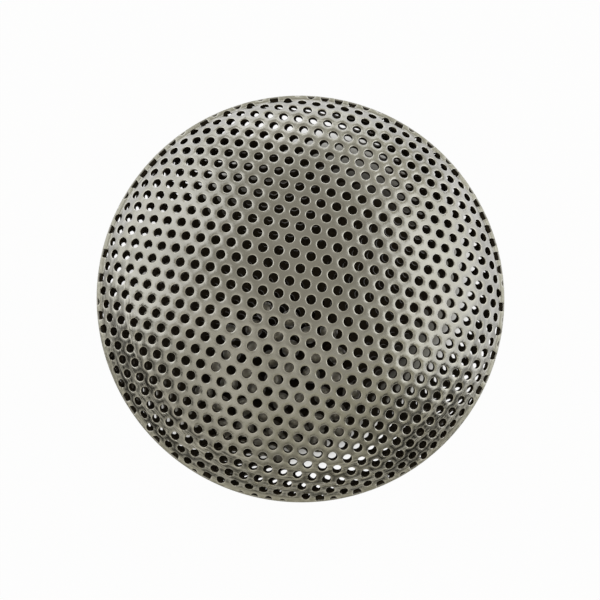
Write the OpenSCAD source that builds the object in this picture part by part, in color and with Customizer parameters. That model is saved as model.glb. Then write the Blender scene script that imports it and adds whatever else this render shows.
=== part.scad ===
/* [Shells] */
// Diameter over the flange, which is the whole width of the shaker
flange_d = 102; // [84:1:106]
// Width of the flange that joins the two shells
flange_w = 0.8; // [0.6:0.1:3]
// Thickness of the flange at its rim, where its outer face is ground down
rim_t = 0.45; // [0.3:0.05:0.6]
// Thickness of the perforated steel sheet
sheet_t = 0.9; // [0.6:0.05:1.2]
// Diameter of the small flat in the middle of each dome
crown_flat_d = 12; // [8:1:20]
// Slope of the sheet where the round crown meets the shoulder, in degrees
crown_slope = 40; // [34:1:44]
// Steepest slope of the sheet, at the foot of the shoulder, in degrees
wall_slope = 64; // [54:1:74]
// Outer radius of the shoulder
shoulder_r = 12; // [6:0.5:14]
// Radius of the fillet between the shoulder and the flange
foot_r = 0.5; // [0.4:0.1:2]

/* [Perforation] */
// Diameter of the punched holes
hole_d = 2.5; // [1.8:0.1:3]
// Distance between the centres of neighbouring holes in the flat sheet
hole_pitch = 4; // [3.8:0.1:6]
// Turn of the rows of holes in the front shell, in degrees
front_turn = 48.75; // [-60:0.05:60]
// Turn of the rows of holes in the rear shell, in degrees
rear_turn = 52.65; // [-60:0.05:60]
// Shift of the front shell's holes along their rows, off the middle of the dome
front_slip = -0.9; // [-2:0.1:2]
// Shift of the front shell's holes across their rows
front_across = -0.2; // [-1.5:0.1:1.5]
// Shift of the rear shell's holes along their rows, off the middle of the dome
rear_slip = 0; // [-2:0.1:2]
// Shift of the rear shell's holes across their rows
rear_across = -0.2; // [-1.5:0.1:1.5]

/* [Shot] */
// Number of loose steel balls
ball_count = 40; // [10:1:58]
// Diameter of a ball, wider than a hole so that it stays inside
ball_d = 4.5; // [3.2:0.1:5.5]
// Clearance between a ball and the sheet that it lies on
ball_clear = 0.3; // [0.2:0.05:0.5]
// Least gap between two neighbouring balls
ball_gap = 0.4; // [0.3:0.1:1]
// Side of the chamber on which the balls have gathered, in degrees from +X
shot_side = -103; // [-180:1:180]
// Distance of the gathered balls' middle from the axis
shot_offset = 22; // [0:1:24]

/* [Hidden] */
$fn = 48;

// Steps along the shoulder and the foot of the section
BEND_STEPS = 8;

// Radii of the section, from the rim inwards
rim_r = flange_d / 2;
flange_start = rim_r - flange_w;
foot_start = flange_start - foot_r * sin(wall_slope);
crown_end = foot_start - shoulder_r * (sin(wall_slope) - sin(crown_slope));
crown_r = crown_end / sin(crown_slope);

// Heights of the section's outer face over the seam, where the two flanges meet
foot_z = sheet_t + foot_r * (1 - cos(wall_slope));
shoulder_z = foot_z + shoulder_r * (cos(crown_slope) - cos(wall_slope));
crown_cz = shoulder_z - crown_r * cos(crown_slope);
flat_z = crown_cz + sqrt(crown_r * crown_r - crown_flat_d * crown_flat_d / 4);

// Centres of the section's three arcs
crown_c = [0, crown_cz];
shoulder_c = [crown_end - shoulder_r * sin(crown_slope), shoulder_z - shoulder_r * cos(crown_slope)];
foot_c = [flange_start, sheet_t + foot_r];

// Height of the seam when the shaker lies on the flat of its rear shell
seam_z = flat_z;

// The balls lie on a sphere inside the crown, strewn in a golden-angle spiral
GOLDEN_ANGLE = 180 * (3 - sqrt(5));
SPIRAL_SPACING = 1.54;
ball_seat = sheet_t + ball_clear + ball_d / 2;
lie_r = crown_r - ball_seat;
strew_step = (ball_d + ball_gap) / SPIRAL_SPACING;
strew_r = strew_step * sqrt(ball_count);
strew_offset = min(shot_offset, lie_r * sin(crown_slope) - strew_r);
strew_c = strew_offset * [cos(shot_side), sin(shot_side)];

// Layout of the holes in the flat blank: rows in a triangle pattern, with the middle between three holes
RAD = PI / 180;
blank_crown = crown_r * crown_slope * RAD;
row_step = hole_pitch * sqrt(3) / 2;
row_shift = hole_pitch / sqrt(3);
row_count = ceil(blank_crown / row_step);
punched_r = blank_crown - hole_pitch;
punch_l = 3 * sheet_t;

function ball_name(k) = str("ball_", k < 10 ? "0" : "", k);

// Points along a bend between two slopes, measured from the axis of the shell
function bend(centre, r, from, to) =
  [for (i = [0:BEND_STEPS]) let (a = from + (to - from) * i / BEND_STEPS) centre + r * [sin(a), cos(a)]];

// Shoulder and foot of the sheet at a depth below its outer face
function bends(depth) = concat(
  bend(shoulder_c, shoulder_r - depth, crown_slope, wall_slope),
  bend(foot_c, -foot_r - depth, wall_slope, 0)
);

// Plan position of a ball, and the height of its centre over the seam inside a dome that faces up
function strewn(k) =
  let (a = k * GOLDEN_ANGLE)
  strew_c + strew_step * sqrt(k - 0.5) * [cos(a), sin(a)];
function lie_z(p) = min(flat_z - ball_seat, crown_cz + sqrt(lie_r * lie_r - p * p));

// Half section of a dome filled up to a depth below its outer face, with the seam at height 0
module filled_section(depth, flange) {
  points = bends(depth);
  top = flat_z - depth;
  // The first chord of the shoulder runs on up to the flat, outside the crown
  chord = points[1] - points[0];
  lead = points[0] + chord * (top - points[0].y) / chord.y;
  intersection() {
    translate(crown_c)
      circle(r = crown_r - depth);
    polygon(concat([[0, 0], [0, top], lead], points, flange));
  }
}

// Punches for the holes of the crown, square to its sheet and clear of the shoulder
module punches(slip, across) {
  for (row = [-row_count:row_count], column = [-2 * row_count:2 * row_count]) {
    at = [hole_pitch * (column + row / 2) + slip, row_step * row - row_shift + across];
    if (norm(at) < crown_flat_d / 2 - hole_d / 2)
      translate([at.x, at.y, flat_z - sheet_t / 2])
        cylinder(h = punch_l, d = hole_d, center = true);
    else if (norm(at) < punched_r)
      translate([0, 0, crown_cz])
        rotate([0, norm(at) / crown_r / RAD, atan2(at.y, at.x)])
          translate([0, 0, crown_r - sheet_t / 2])
            cylinder(h = punch_l, d = hole_d, center = true);
  }
}

// One dome pressed from perforated sheet, with its flange
module pressed_shell(slip, across) {
  difference() {
    rotate_extrude()
      difference() {
        filled_section(0, [[rim_r, rim_t], [rim_r, 0]]);
        filled_section(sheet_t, []);
      }
    punches(slip, across);
  }
}

module front_shell() {
  color("#c9c4ba")
    translate([0, 0, seam_z])
      rotate(front_turn)
        pressed_shell(front_slip, front_across);
}

module rear_shell() {
  color("#b8b3a9")
    translate([0, 0, seam_z])
      rotate(rear_turn)
        rotate([180, 0, 0])
          pressed_shell(rear_slip, rear_across);
}

module ball(k) {
  at = strewn(k);
  color("#8d8b87")
    translate([at.x, at.y, seam_z - lie_z(at)])
      sphere(d = ball_d);
}

front_shell();
rear_shell();
for (k = [1:ball_count]) ball(k);
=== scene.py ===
import math

import bpy
import numpy as np
from mathutils import Matrix, Vector


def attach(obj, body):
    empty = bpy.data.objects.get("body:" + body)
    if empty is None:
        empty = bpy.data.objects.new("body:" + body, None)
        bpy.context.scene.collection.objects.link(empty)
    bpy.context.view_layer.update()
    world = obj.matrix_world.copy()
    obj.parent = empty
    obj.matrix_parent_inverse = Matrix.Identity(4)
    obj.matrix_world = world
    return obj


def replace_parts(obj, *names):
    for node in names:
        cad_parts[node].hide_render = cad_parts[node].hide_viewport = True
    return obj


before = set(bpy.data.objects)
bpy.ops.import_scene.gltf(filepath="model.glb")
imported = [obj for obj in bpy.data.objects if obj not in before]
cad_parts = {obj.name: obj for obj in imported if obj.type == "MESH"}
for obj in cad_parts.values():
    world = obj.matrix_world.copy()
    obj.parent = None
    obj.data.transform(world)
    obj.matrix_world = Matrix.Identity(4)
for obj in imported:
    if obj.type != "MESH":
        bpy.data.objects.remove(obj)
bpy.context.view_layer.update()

# The shells are two like domes of stainless sheet. The sheet was punched flat, with round holes in a
# triangle pattern, and then pressed, so the rows of holes close up on the steep shoulder. A narrow flat
# flange, trimmed through whatever holes lie there, is brazed to the flange of the other shell.
RIM_RADIUS = 0.0510
FLANGE_WIDTH = 0.0008
RIM_THICKNESS = 0.00045
SHEET_THICKNESS = 0.0009
FLAT_RADIUS = 0.0060
CROWN_SLOPE = math.radians(40)
WALL_SLOPE = math.radians(64)
SHOULDER_RADIUS = 0.0120
FOOT_RADIUS = 0.0005
BEND_STEPS = 5

# The holes, the lip that the punch rolls over, and the low collar that the press raises round a hole
HOLE_RADIUS = 0.00125
HOLE_PITCH = 0.0040
HOLE_SIDES = 18
LIP_WIDTH = 0.00022
LIP_DEPTH = 0.00012
COLLAR_HEIGHT = 0.00015

# Each sheet lay a little off centre when it was pressed: its slip along the rows of holes and across them
FRONT_TURN = math.radians(48.75)
FRONT_SLIP = (-0.0009, -0.0002)
REAR_TURN = math.radians(52.65)
REAR_SLIP = (0.0, -0.0002)

# Hand pressure has left the crown a little uneven, in waves wider than the holes. They fade in from the flat
# and out towards the foot. A wave has a number of lobes, a twist in radians per metre and a start in radians.
DENT_DEPTH = 0.00003
DENT_FADE_IN = 0.008
DENT_FADE_OUT = 0.004
DENT_WAVES = ((3, 160, 0), (5, -230, 1), (8, 110, 2))

# Drawing streaks run round the shoulder, and a dark reflection is painted along them: their reach up the
# crown, how soon they fade in, and their spacing
DRAWN_RUN_OUT = 0.0065
DRAWN_FADE = 0.0022
STREAK_SPACING = 0.0013
# Radius of the circle that they follow, counted in lengths of a streak
STREAK_CIRCLE = 2.2
# The die drew hardest on two sides of the shoulder, and less between them, and there the streaks are painted
# darkest, a painted reflection of the dark room: direction, narrowness, how hard
PULLED_AND_DARK_SIDES = ((math.radians(208), 6, 0.65), (math.radians(312), 6, 0.65), (math.radians(260), 2, 0.45))
PULLED_AND_DARK_ALL_ROUND = 0.1
# A highlight is painted on the lips of the holes, and less of it on the foot and the collars
FOOT_HIGHLIGHT = 0.8
COLLAR_HIGHLIGHT = 0.5

# The braze is a thin film between the flanges, with a bead round the rim
BRAZE_BELOW_SEAM = 0.00015
BRAZE_INSET = 0.00015
BRAZE_FILM = 0.00010
BRAZE_SEGMENTS = 144
BEAD_RADIUS = 0.00030
BEAD_INSET = 0.00021
BEAD_SEGMENTS = 180
BEAD_SIDES = 8

# Corners this close are merged, a corner this near to an edge is on it, and less than the last is nothing
MERGE_WITHIN = 2e-5
ON_EDGE = 3e-5
TINY = 1e-6
# A place well off the axis, to which no two neighbouring corners are equally near
SORT_FROM = (0.11, 0.07, 0.03)
SMOOTH_BELOW = math.radians(55)
LARGE_FACE_WEIGHT = 90

# Arcs of the pressed section, seam at height 0, and the lengths along the flat blank that each one takes up
flange_start = RIM_RADIUS - FLANGE_WIDTH
foot_start = flange_start - FOOT_RADIUS * math.sin(WALL_SLOPE)
crown_end = foot_start - SHOULDER_RADIUS * (math.sin(WALL_SLOPE) - math.sin(CROWN_SLOPE))
crown_radius = crown_end / math.sin(CROWN_SLOPE)
foot_height = SHEET_THICKNESS + FOOT_RADIUS * (1 - math.cos(WALL_SLOPE))
shoulder_height = foot_height + SHOULDER_RADIUS * (math.cos(CROWN_SLOPE) - math.cos(WALL_SLOPE))
crown_middle = shoulder_height - crown_radius * math.cos(CROWN_SLOPE)
shoulder_middle = (crown_end - SHOULDER_RADIUS * math.sin(CROWN_SLOPE),
                   shoulder_height - SHOULDER_RADIUS * math.cos(CROWN_SLOPE))
foot_middle = (flange_start, SHEET_THICKNESS + FOOT_RADIUS)
flat_height = crown_middle + math.sqrt(crown_radius ** 2 - FLAT_RADIUS ** 2)
seam_height = flat_height
blank_crown = crown_radius * CROWN_SLOPE
blank_shoulder = blank_crown + SHOULDER_RADIUS * (WALL_SLOPE - CROWN_SLOPE)
blank_foot = blank_shoulder + FOOT_RADIUS * WALL_SLOPE
blank_radius = blank_foot + FLANGE_WIDTH

# Rows of holes that cover the blank, with the dome's axis midway between three holes, and the round cuts that
# give the sheet corners to bend at
row_step = HOLE_PITCH * math.sqrt(3) / 2
hole_below_axis = HOLE_PITCH / math.sqrt(3)
half_rows = math.ceil(blank_radius / row_step) + 1
half_columns = math.ceil(blank_radius / HOLE_PITCH + half_rows / 2) + 1
cuts = [FLAT_RADIUS]
cuts += [blank_crown + (blank_shoulder - blank_crown) * i / BEND_STEPS for i in range(BEND_STEPS)]
cuts += [blank_shoulder + (blank_foot - blank_shoulder) * i / BEND_STEPS for i in range(BEND_STEPS + 1)]


def linear(hex_colour):
    """Linear colour from an sRGB hex value."""
    parts = [int(hex_colour[i:i + 2], 16) / 255 for i in (1, 3, 5)]
    return [p / 12.92 if p <= 0.04045 else ((p + 0.055) / 1.055) ** 2.4 for p in parts] + [1]


def new_material(name):
    material = bpy.data.materials.new(name)
    material.use_nodes = True
    material.node_tree.nodes.clear()
    return material, material.node_tree


def add(tree, kind, settings=None, **inputs):
    """Adds a node with its settings. An input is named, or numbered as _0, and gets a link or a constant."""
    new = tree.nodes.new(kind)
    for name, value in (settings or {}).items():
        setattr(new, name, value)
    for name, value in inputs.items():
        socket = new.inputs[int(name[1:])] if name[1:].isdigit() else new.inputs[name.replace('_', ' ')]
        if isinstance(value, bpy.types.NodeSocket):
            tree.links.new(value, socket)
        else:
            socket.default_value = value
    return new


def noise(tree, place, size, **inputs):
    """Soft random blotches of a size in metres."""
    return add(tree, 'ShaderNodeTexNoise', Vector=place, Scale=1 / size, **inputs).outputs['Fac']


def mark(tree, name, output='Fac'):
    return add(tree, 'ShaderNodeAttribute', {'attribute_name': name}).outputs[output]


def calculate(tree, operation, first, second):
    return add(tree, 'ShaderNodeMath', {'operation': operation}, _0=first, _1=second).outputs[0]


def spread(tree, value, start, end, low=0.0, high=1.0, ease='LINEAR'):
    """A number that goes from low to high while the value goes from start to end."""
    return add(tree, 'ShaderNodeMapRange', {'interpolation_type': ease}, Value=value, From_Min=start,
               From_Max=end, To_Min=low, To_Max=high).outputs[0]


def ramp(tree, value, *stops, ease='LINEAR'):
    """A colour that follows the value through stops, each a place and an sRGB hex colour."""
    node = add(tree, 'ShaderNodeValToRGB', Fac=value)
    node.color_ramp.interpolation = ease
    for end in (0, -1):
        node.color_ramp.elements[end].position = stops[end][0]
        node.color_ramp.elements[end].color = linear(stops[end][1])
    for place, colour in stops[1:-1]:
        node.color_ramp.elements.new(place).color = linear(colour)
    return node.outputs['Color']


def blend(tree, share, under, over):
    """A colour laid over another one by a share from 0 to 1."""
    return add(tree, 'ShaderNodeMix', {'data_type': 'RGBA'}, Factor=share, _6=under, _7=over).outputs[2]


def show(tree, **inputs):
    """Ends a material with its surface."""
    surface = add(tree, 'ShaderNodeBsdfPrincipled', **inputs)
    add(tree, 'ShaderNodeOutputMaterial', Surface=surface.outputs[0])


# Pressed stainless steel: semi-gloss from the rolling mill, warm grey, with soft cloudy scuffs from handling.
# The rolled lips of the holes are painted lighter than the sheet, a painted highlight, so that a pale ring
# shows round each one.
# The flange is ground matt, and the shoulder has wavy streaks where the sheet went over the die, painted dark
# in them as a painted reflection of the dark room.
CLOUD_SIZE = 0.012
SCUFF_SIZE = 0.0022
PEEL_SIZE = 0.0009
PEEL_DEPTH = 0.0002
FURROW_DEPTH = 0.0008
ROUGHNESS = (0.22, 0.32)
GROUND_ROUGHNESS = 0.2
# Most of a noise lies in the first span, and a streak is dark where its noise is past the second one
NOISE_SPAN = (0.3, 0.7)
STREAK_SPAN = (0.43, 0.52)
steel, tree = new_material('pressed stainless steel')
place = add(tree, 'ShaderNodeTexCoord').outputs['Object']
cloud = noise(tree, place, CLOUD_SIZE, Detail=3.0)
tint = ramp(tree, cloud, (NOISE_SPAN[0], '#b8b7b2'), (NOISE_SPAN[1], '#cbcac7'))
# The streak mark is counted in streaks, not in metres
streak = noise(tree, mark(tree, 'streak', 'Vector'), 1, Detail=2.0, Distortion=0.4)
drawn_and_dark = mark(tree, 'drawn_and_dark')
# Painted dark reflection: the streaks on the shoulder are darkened, most on two sides
dark_reflection_share = calculate(tree, 'MULTIPLY', spread(tree, streak, *STREAK_SPAN), drawn_and_dark)
with_dark_reflection = blend(tree, dark_reflection_share, tint, linear('#1e1c18'))
ground = mark(tree, 'ground_flange')
edged = blend(tree, ground, with_dark_reflection, linear('#c8c7be'))
# Painted highlight: the lips, the foot and the collars are made paler
highlighted = blend(tree, mark(tree, 'painted_highlight'), edged, linear('#f6f4ee'))
gloss = spread(tree, noise(tree, place, SCUFF_SIZE, Detail=4.0), *NOISE_SPAN, *ROUGHNESS)
rough = calculate(tree, 'ADD', gloss, calculate(tree, 'MULTIPLY', ground, GROUND_ROUGHNESS))
peel = noise(tree, place, PEEL_SIZE, Detail=2.0)
uneven = add(tree, 'ShaderNodeBump', Strength=0.06, Distance=PEEL_DEPTH, Height=peel)
furrow = calculate(tree, 'MULTIPLY', streak, drawn_and_dark)
furrowed = add(tree, 'ShaderNodeBump', Strength=1.0, Distance=FURROW_DEPTH, Height=furrow,
               Normal=uneven.outputs[0])
show(tree, Base_Color=highlighted, Metallic=1.0, Roughness=rough, Normal=furrowed.outputs[0])

# The inside was never polished and holds a dull brown film of drawing oil and rubbed steel dust, and its dark
# colour is also painted shade, for the shade inside the closed shells and in the holes
FILM_SIZE = 0.008
oily_shaded_steel, tree = new_material('oily steel with painted shade')
place = add(tree, 'ShaderNodeTexCoord').outputs['Object']
shade = ramp(tree, noise(tree, place, FILM_SIZE, Detail=4.0), (0, '#1f1a12'), (1, '#463c2d'))
show(tree, Base_Color=shade, Metallic=0.6, Roughness=0.55)


def coordinates(mesh):
    found = np.empty(3 * len(mesh.vertices))
    mesh.vertices.foreach_get('co', found)
    return found.reshape(-1, 3)


def set_coordinates(mesh, points):
    mesh.vertices.foreach_set('co', np.ascontiguousarray(points).ravel())
    mesh.update()


def off_hole(points, slip):
    """Distance of each point of the flat sheet from the middle of its nearest hole."""
    nearest = np.full(len(points), blank_radius)
    for half in (0, 1):
        over = points[:, 0] - slip[0] - half * HOLE_PITCH / 2
        across = points[:, 1] - slip[1] + hole_below_axis - half * row_step
        over = over - HOLE_PITCH * np.round(over / HOLE_PITCH)
        across = across - 2 * row_step * np.round(across / (2 * row_step))
        nearest = np.minimum(nearest, np.hypot(over, across))
    return nearest


def press(points, depth):
    """The dome that the flat blank is pressed into, for points at a depth below the sheet's outer face."""
    along = np.hypot(points[:, 0], points[:, 1])
    stretch = [along < blank_crown, along < blank_shoulder, along < blank_foot]
    slope = np.select(stretch, [along / crown_radius,
                                CROWN_SLOPE + (along - blank_crown) / SHOULDER_RADIUS,
                                WALL_SLOPE - (along - blank_shoulder) / FOOT_RADIUS], 0)
    radius = np.select(stretch, [crown_radius * np.sin(slope),
                                 shoulder_middle[0] + SHOULDER_RADIUS * np.sin(slope),
                                 foot_middle[0] - FOOT_RADIUS * np.sin(slope)],
                       flange_start + along - blank_foot)
    height = np.select(stretch, [crown_middle + crown_radius * np.cos(slope),
                                 shoulder_middle[1] + SHOULDER_RADIUS * np.cos(slope),
                                 foot_middle[1] - FOOT_RADIUS * np.cos(slope)], SHEET_THICKNESS)
    fade_in = np.clip((along - FLAT_RADIUS) / DENT_FADE_IN, 0, 1)
    fade_out = np.clip((blank_shoulder - along) / DENT_FADE_OUT, 0, 1)
    turned = np.arctan2(points[:, 1], points[:, 0])
    wave = sum(np.sin(lobes * turned + twist * along + start) for lobes, twist, start in DENT_WAVES)
    depth = depth + DENT_DEPTH * fade_in * fade_out * wave
    grow = (radius - depth * np.sin(slope)) / np.maximum(along, TINY)
    height = np.minimum(height - depth * np.cos(slope), flat_height - depth)
    return np.column_stack([points[:, 0] * grow, points[:, 1] * grow, height])


def punched_sheet(name, slip):
    """The flat round sheet with all its holes, made from a single punched cell."""
    # One cell: the hole, its lip, and the web out to the six-sided border with the next cells
    bpy.ops.object.select_all(action='DESELECT')
    bpy.ops.mesh.primitive_circle_add(vertices=HOLE_SIDES, radius=HOLE_RADIUS, fill_type='NOTHING')
    sheet = bpy.context.object
    sheet.name = sheet.data.name = name
    bpy.ops.object.mode_set(mode='EDIT')
    bpy.ops.mesh.select_all(action='SELECT')
    rings = (HOLE_RADIUS, HOLE_RADIUS + LIP_WIDTH, HOLE_PITCH / 2)
    for inner, outer in zip(rings, rings[1:]):
        bpy.ops.mesh.extrude_region_move()
        bpy.ops.transform.resize(value=(outer / inner, outer / inner, 1))
    bpy.ops.object.mode_set(mode='OBJECT')
    points = coordinates(sheet.data)
    border = np.hypot(points[:, 0], points[:, 1]) > HOLE_PITCH / 2 - TINY
    from_side = np.mod(np.arctan2(points[:, 1], points[:, 0]) + math.pi / 6, math.pi / 3) - math.pi / 6
    points[border] /= np.cos(from_side[border])[:, None]
    set_coordinates(sheet.data, points)

    # Rows and columns of cells make the sheet
    for step_name, half, step in (('columns', half_columns, (HOLE_PITCH, 0, 0)),
                                  ('rows', half_rows, (HOLE_PITCH / 2, row_step, 0))):
        array = sheet.modifiers.new(step_name, 'ARRAY')
        array.count = 2 * half + 1
        array.use_relative_offset = False
        array.use_constant_offset = True
        array.constant_offset_displace = step
        bpy.ops.object.modifier_apply(modifier=step_name)
    points = coordinates(sheet.data)
    points[:, 0] += slip[0] - HOLE_PITCH * (half_columns + half_rows / 2)
    points[:, 1] += slip[1] - row_step * half_rows - hole_below_axis

    # A round cut is made by a level plane while the sheet is lifted into a bowl, and then it is laid flat
    points[:, 2] = (points[:, 0] ** 2 + points[:, 1] ** 2) / blank_radius
    set_coordinates(sheet.data, points)
    bpy.ops.object.mode_set(mode='EDIT')
    for cut in cuts + [blank_radius]:
        bpy.ops.mesh.select_all(action='SELECT')
        bpy.ops.mesh.bisect(plane_co=(0, 0, cut ** 2 / blank_radius), plane_no=(0, 0, 1),
                            clear_outer=cut == blank_radius, threshold=TINY)
    bpy.ops.object.mode_set(mode='OBJECT')
    points = coordinates(sheet.data)
    points[:, 2] = 0
    set_coordinates(sheet.data, points)

    # The cuts leave the corners in no fixed order, so they are sorted before the nearest ones are merged
    bpy.ops.object.mode_set(mode='EDIT')
    bpy.ops.mesh.select_all(action='SELECT')
    bpy.context.scene.cursor.location = SORT_FROM
    bpy.ops.mesh.sort_elements(type='CURSOR_DISTANCE', elements={'VERT', 'EDGE', 'FACE'})
    bpy.context.scene.cursor.location = (0, 0, 0)
    bpy.ops.mesh.remove_doubles(threshold=MERGE_WITHIN)
    bpy.ops.mesh.normals_make_consistent(inside=False)
    bpy.ops.object.mode_set(mode='OBJECT')
    if sheet.data.polygons[0].normal.z < 0:
        bpy.ops.object.mode_set(mode='EDIT')
        bpy.ops.mesh.flip_normals()
        bpy.ops.object.mode_set(mode='OBJECT')
    thick = sheet.modifiers.new('sheet', 'SOLIDIFY')
    thick.thickness = SHEET_THICKNESS
    thick.offset = -1
    bpy.ops.object.modifier_apply(modifier='sheet')
    return sheet


def draw(shell, turn, slip, upwards):
    """Presses the flat sheet into its dome, with the marks that the punch and the die leave on it, and the
    marks for a painted highlight and a painted dark reflection.
    """
    # The punch rolls over the edge of each hole on the side where it goes in, which becomes the outside
    mesh = shell.data
    points = coordinates(mesh)
    depth = -points[:, 2]
    along = np.hypot(points[:, 0], points[:, 1])
    from_hole = off_hole(points, slip)
    hole_edge = (from_hole < HOLE_RADIUS + ON_EDGE) & (depth < TINY)
    depth[hole_edge] = LIP_DEPTH
    # Drawing over the die has pulled the webs in between the holes, so each hole stands in a low collar
    turned = np.arctan2(points[:, 1], points[:, 0])
    facing = (turned if upwards else -turned) + turn
    # This mask also paints the dark reflection into the shoulder's streaks
    pulled_and_dark = sum(hard * np.maximum(np.cos(facing - side), 0) ** narrow for side, narrow, hard in PULLED_AND_DARK_SIDES)
    reached = np.clip((along - blank_crown + DRAWN_RUN_OUT) / DRAWN_FADE, 0, 1)
    drawn_and_dark = reached * (PULLED_AND_DARK_ALL_ROUND + pulled_and_dark)
    collar = (from_hole < HOLE_RADIUS + LIP_WIDTH + ON_EDGE) & (depth < SHEET_THICKNESS / 2)
    depth -= COLLAR_HEIGHT * drawn_and_dark * collar
    # The outer face of the flange is ground down towards the rim
    ground = np.clip((along - blank_foot) / FLANGE_WIDTH, 0, 1) * (depth < SHEET_THICKNESS / 2)
    depth += (SHEET_THICKNESS - RIM_THICKNESS) * ground
    # The dark film, with its painted shade, covers the inner face and the walls of the holes, and the rim's
    # own edge is clean
    oily_and_shaded_faces = [max(depth[v] for v in face.vertices) > SHEET_THICKNESS - TINY
                  and min(along[v] for v in face.vertices) < blank_radius - TINY for face in mesh.polygons]

    # Marks for the finish: where a highlight is painted, the ground flange, and where the die drew the
    # shoulder and a dark reflection is painted
    foot_line = np.abs(along - blank_shoulder) < MERGE_WITHIN
    # The lips, the foot line and the collars get a painted highlight
    highlight = np.maximum.reduce([hole_edge, FOOT_HIGHLIGHT * foot_line, COLLAR_HIGHLIGHT * drawn_and_dark * collar])
    marks = {'painted_highlight': highlight,
             'ground_flange': np.clip((along - blank_shoulder) / (blank_foot - blank_shoulder), 0, 1),
             'drawn_and_dark': drawn_and_dark}
    for name, amount in marks.items():
        mesh.attributes.new(name, 'FLOAT', 'POINT').data.foreach_set('value', amount.astype(np.float32))
    streaks = np.column_stack([np.cos(turned) * STREAK_CIRCLE, np.sin(turned) * STREAK_CIRCLE,
                               along / STREAK_SPACING]).astype(np.float32)
    mesh.attributes.new('streak', 'FLOAT_VECTOR', 'POINT').data.foreach_set('vector', streaks.ravel())

    dome = press(points, depth)
    if not upwards:
        dome[:, 1:] *= -1
    cosine = math.cos(turn)
    sine = math.sin(turn)
    dome = dome @ np.array([[cosine, sine, 0], [-sine, cosine, 0], [0, 0, 1]])
    dome[:, 2] += seam_height
    set_coordinates(mesh, dome)
    mesh.materials.append(steel)
    mesh.materials.append(oily_shaded_steel)
    mesh.polygons.foreach_set('material_index', np.array(oily_and_shaded_faces, np.int32))


def add_braze(shell):
    """The braze that joins the flanges: a thin film, dark with painted shade, that closes their holes, and
    the rim's bead.
    """
    bpy.ops.object.select_all(action='DESELECT')
    film_start = flange_start - FOOT_RADIUS
    bpy.ops.mesh.primitive_circle_add(vertices=BRAZE_SEGMENTS, radius=film_start, fill_type='NOTHING',
                                      location=(0, 0, seam_height - BRAZE_BELOW_SEAM))
    braze = bpy.context.object
    bpy.ops.object.transform_apply()
    bpy.ops.object.mode_set(mode='EDIT')
    bpy.ops.mesh.select_all(action='SELECT')
    bpy.ops.mesh.extrude_region_move()
    widen = (RIM_RADIUS - BRAZE_INSET) / film_start
    bpy.ops.transform.resize(value=(widen, widen, 1))
    bpy.ops.mesh.select_all(action='SELECT')
    bpy.ops.mesh.normals_make_consistent(inside=False)
    bpy.ops.object.mode_set(mode='OBJECT')
    film = braze.modifiers.new('film', 'SOLIDIFY')
    film.thickness = BRAZE_FILM
    film.offset = 0
    bpy.ops.object.modifier_apply(modifier='film')
    # The film takes the dark inside colour, painted shade at the bottom of the flange holes
    braze.data.materials.append(oily_shaded_steel)
    bpy.ops.mesh.primitive_torus_add(major_radius=RIM_RADIUS - BEAD_INSET, minor_radius=BEAD_RADIUS,
                                     major_segments=BEAD_SEGMENTS, minor_segments=BEAD_SIDES,
                                     location=(0, 0, seam_height))
    bpy.ops.object.transform_apply()
    bpy.context.object.data.materials.append(steel)
    braze.select_set(True)
    shell.select_set(True)
    bpy.context.view_layer.objects.active = shell
    bpy.ops.object.join()


def make_shell(name, turn, slip, upwards):
    """One shell, from punched sheet to pressed dome. The rear one is turned over and holds the braze."""
    shell = punched_sheet(name, slip)
    draw(shell, turn, slip, upwards)
    if not upwards:
        add_braze(shell)
    bpy.ops.object.shade_smooth_by_angle(angle=SMOOTH_BELOW)
    even = shell.modifiers.new('even shading', 'WEIGHTED_NORMAL')
    even.keep_sharp = True
    even.weight = LARGE_FACE_WEIGHT
    bpy.ops.object.modifier_apply(modifier='even shading')
    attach(shell, 'shells')
    return shell


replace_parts(make_shell('front_dome', FRONT_TURN, FRONT_SLIP, True), 'front_shell')
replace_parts(make_shell('rear_dome', REAR_TURN, REAR_SLIP, False), 'rear_shell')

# The shot is loose steel balls, sealed in when the flanges were joined. They are bright ground steel that has
# been rubbed a little dull in patches, so each one shows as a soft grey sphere behind the holes.
RUB_SIZE = 0.0015
shot_steel, tree = new_material('rubbed shot steel')
place = add(tree, 'ShaderNodeTexCoord').outputs['Object']
shade = ramp(tree, noise(tree, place, RUB_SIZE, Detail=3.0), (0, '#a39e96'), (1, '#d6d2ca'))
show(tree, Base_Color=shade, Metallic=0.8, Roughness=0.28)
for name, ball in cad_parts.items():
    if name.startswith('ball_'):
        ball.data.materials.clear()
        ball.data.materials.append(shot_steel)

# The table top is matt white, with a painted shadow under the shaker, an oval one because the lamps stand on
# three sides.
TABLE_SIZE = 6
SHADOW_SHIFT = (0, 0.002, 0)
SHADOW_TURN = (0, 0, math.radians(38))
SHADOW_OVAL = (1, 0.83, 1)
# From the middle outwards, where the painted shadow ends and where the table's glow shows it as plain white
PAINT_SPAN = (0.032, 0.054)
WHITE_SPAN = (0.042, 0.0525)
MOST_WHITE = 0.97
# In the metal, the table's glow shows white behind the shaker and fades out in front, a painted shade that
# leaves the lit table there
BEHIND_SHAKER = (0.25, 1.0, 0.0)
MIRROR_SPAN = (-0.05, 0.04)
MOST_MIRRORED = 0.92


def dot(tree, first, second):
    product = add(tree, 'ShaderNodeVectorMath', {'operation': 'DOT_PRODUCT'}, _0=first, _1=second)
    return product.outputs['Value']


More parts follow.
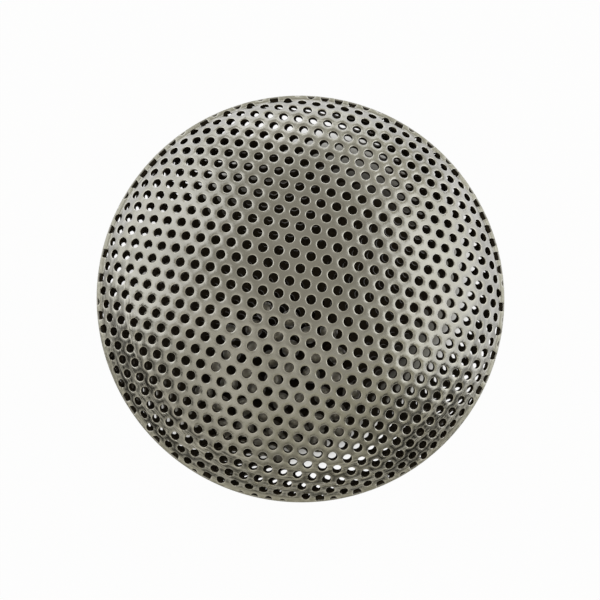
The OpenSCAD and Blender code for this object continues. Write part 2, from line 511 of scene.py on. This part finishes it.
bpy.ops.object.select_all(action='DESELECT')
bpy.ops.mesh.primitive_plane_add(size=TABLE_SIZE)
table = bpy.context.object
table.name = 'table_top'
white_with_painted_shadow, tree = new_material('matt white table with painted shadow')
path = add(tree, 'ShaderNodeLightPath').outputs
place = add(tree, 'ShaderNodeTexCoord').outputs['Object']
oval = add(tree, 'ShaderNodeMapping', {'vector_type': 'TEXTURE'}, Vector=place, Location=SHADOW_SHIFT,
           Rotation=SHADOW_TURN, Scale=SHADOW_OVAL).outputs[0]
away = add(tree, 'ShaderNodeVectorMath', {'operation': 'LENGTH'}, _0=oval).outputs['Value']
# The white glow is left out in the same oval, so that the painted shadow shows there
lit = spread(tree, away, *WHITE_SPAN, high=MOST_WHITE, ease='SMOOTHSTEP')
seen = calculate(tree, 'MULTIPLY', path['Is Camera Ray'], lit)
fall = spread(tree, dot(tree, place, BEHIND_SHAKER), *MIRROR_SPAN, high=MOST_MIRRORED, ease='SMOOTHSTEP')
mirrored = calculate(tree, 'MAXIMUM', path['Is Glossy Ray'], path['Is Transmission Ray'])
share = calculate(tree, 'ADD', seen, calculate(tree, 'MULTIPLY', mirrored, fall))
# Painted shadow: the table's colour turns dark brown under the shaker
out_of_shadow = spread(tree, away, *PAINT_SPAN, ease='SMOOTHSTEP')
paint_and_shadow = blend(tree, out_of_shadow, linear('#2a251d'), linear('#f4f4f2'))
paint = add(tree, 'ShaderNodeBsdfDiffuse', Color=paint_and_shadow)
glow = add(tree, 'ShaderNodeEmission', Color=linear('#ffffff'), Strength=1.0)
mixed = add(tree, 'ShaderNodeMixShader', _0=share, _1=paint.outputs[0], _2=glow.outputs[0])
add(tree, 'ShaderNodeOutputMaterial', Surface=mixed.outputs[0])
table.data.materials.append(white_with_painted_shadow)

# The light is three big soft boxes, right, left and behind, in a warm grey room with a darker horizon. A
# paler stretch of wall lights the crown at the lower left. Two dark gaps low in the room show as dark bands
# on the shoulder, at the lower left and the lower right.
ROOM_RISE = (-0.15, 0.3, 0.9)
PALE_WALL = (-0.53, -0.47, 0.70)
DARK_GAPS = ((-0.91, -0.40, 0.08), (0.72, -0.69, 0.08))
# Cosines of the angles from the middle of such a place, at its edge and where it is full
PALE_SPAN = (0.80, 0.97)
GAP_SPAN = (0.88, 0.97)
LAMP_TINT = (0.97, 0.99, 1.0)
world = bpy.data.worlds.new('grey room')
bpy.context.scene.world = world
world.use_nodes = True
tree = world.node_tree
tree.nodes.clear()
direction = add(tree, 'ShaderNodeTexCoord').outputs['Generated']
wall = ramp(tree, dot(tree, direction, ROOM_RISE), (0, '#7a7668'), (0.16, '#a29e8d'), (0.33, '#b8b49d'),
            (0.6, '#b2afa3'), (0.9, '#9f9b8e'), (1, '#a29e92'), ease='EASE')
pale = spread(tree, dot(tree, direction, PALE_WALL), *PALE_SPAN, ease='SMOOTHSTEP')
wall = blend(tree, pale, wall, linear('#cbc7b9'))
for gap in DARK_GAPS:
    dark = spread(tree, dot(tree, direction, gap), *GAP_SPAN, ease='SMOOTHSTEP')
    wall = blend(tree, dark, wall, linear('#2b2a26'))
room = add(tree, 'ShaderNodeBackground', Color=wall, Strength=1.0)
add(tree, 'ShaderNodeOutputWorld', Surface=room.outputs[0])


def soft_box(name, place, size, radiance):
    """A lamp that faces the shaker, with the brightness that its face shows in the metal."""
    bpy.ops.object.light_add(type='AREA', location=place)
    lamp = bpy.context.object
    lamp.name = name
    lamp.data.shape = 'RECTANGLE'
    lamp.data.size, lamp.data.size_y = size
    lamp.data.energy = radiance * math.pi * size[0] * size[1]
    lamp.data.color = LAMP_TINT
    lamp.rotation_euler = (Vector(place) - Vector((0, 0, seam_height))).to_track_quat('Z', 'Y').to_euler()


soft_box('right_soft_box', place=(0.82, 0.15, 0.37), size=(1.15, 0.75), radiance=0.70)
soft_box('left_soft_box', place=(-0.76, 0.38, 0.40), size=(1.1, 0.75), radiance=0.56)
soft_box('back_soft_box', place=(0.0, 0.90, 0.09), size=(1.2, 0.22), radiance=0.76)

# The camera looks down on the shaker as it lies on its back, tipped a little from straight overhead. The
# disc's middle is a little right of the picture's middle and above it, in pixels.
IMAGE_PIXELS = 600
PIXELS_PER_METRE = 3996
DISC_RIGHT = 1.28
DISC_ABOVE = 2.32
CAMERA_DISTANCE = 0.665
TIP_FORWARD = math.radians(4.81)
TIP_SIDEWAYS = math.radians(2.81)
SENSOR_WIDTH = 36
towards = Vector((-math.sin(TIP_SIDEWAYS), -math.sin(TIP_FORWARD) * math.cos(TIP_SIDEWAYS),
                  math.cos(TIP_FORWARD) * math.cos(TIP_SIDEWAYS)))
picture_up = Vector((0, math.cos(TIP_FORWARD), math.sin(TIP_FORWARD)))
picture_right = picture_up.cross(towards)
aim = Vector((0, 0, seam_height)) - (picture_right * DISC_RIGHT + picture_up * DISC_ABOVE) / PIXELS_PER_METRE
bpy.ops.object.camera_add(location=aim + towards * CAMERA_DISTANCE)
camera = bpy.context.object
camera.rotation_euler = Matrix((picture_right, picture_up, towards)).transposed().to_euler()
camera.data.sensor_width = SENSOR_WIDTH
camera.data.lens = SENSOR_WIDTH * PIXELS_PER_METRE * CAMERA_DISTANCE / IMAGE_PIXELS
camera.data.clip_start = 0.01
camera.data.clip_end = 20
bpy.context.scene.camera = camera
bpy.context.scene.view_settings.view_transform = 'Standard'
